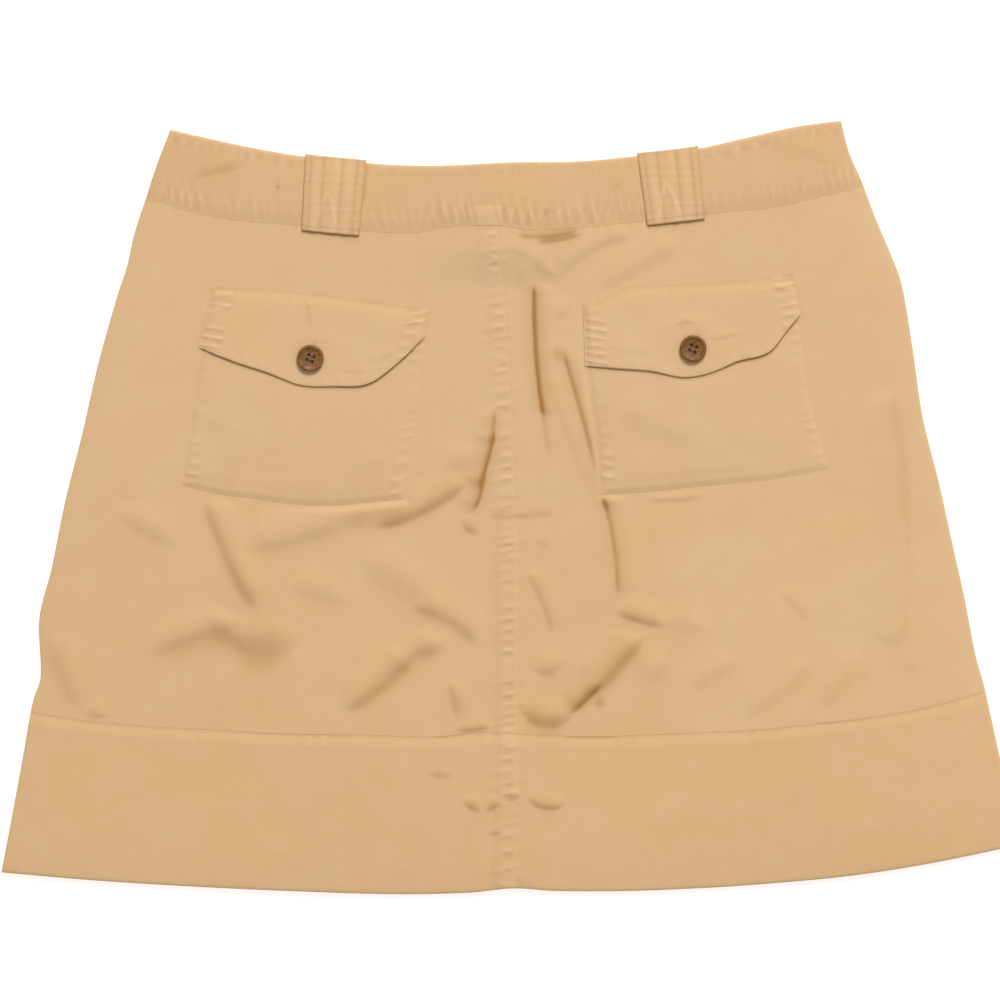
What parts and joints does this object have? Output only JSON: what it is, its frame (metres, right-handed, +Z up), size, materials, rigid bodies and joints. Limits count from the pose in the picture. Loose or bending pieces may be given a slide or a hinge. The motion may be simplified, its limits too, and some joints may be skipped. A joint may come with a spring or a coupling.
{
  "type": "cargo utility skirt",
  "caption": "Short A-line utility skirt of tan cotton twill, laid flat with its back up: flap patch pockets with dark buttons, wide belt loops, a felled centre seam and a deep hem band.",
  "frame": {"origin": "middle of the box that the laid-out skirt fills, on the surface that it lies on", "axes": "+X to the right of the back as it is seen, +Y from the hem to the waist, +Z up out of the surface"},
  "size_m": [0.6112, 0.4621, 0.0124],
  "materials": {
    "twill": "matt cotton twill",
    "horn": "satin",
    "steel": "satin"
  },
  "bodies": {
    "root": {"back_panel_left": "twill", "back_panel_right": "twill", "back_hem_band_left": "twill", "back_hem_band_right": "twill", "back_waistband": "twill", "belt_loop_left": "twill", "belt_loop_right": "twill", "pocket_left": "twill", "pocket_right": "twill", "flap_left": "twill", "flap_right": "twill", "front_panel_left": "twill", "front_panel_right": "twill", "front_hem_band_left": "twill", "front_hem_band_right": "twill", "front_waistband_left": "twill", "front_waistband_right": "twill", "fly_zip": "twill", "button_left": "horn", "button_right": "horn", "waist_hook": "steel", "zip_slider": "steel"}
  },
  "joints": []
}
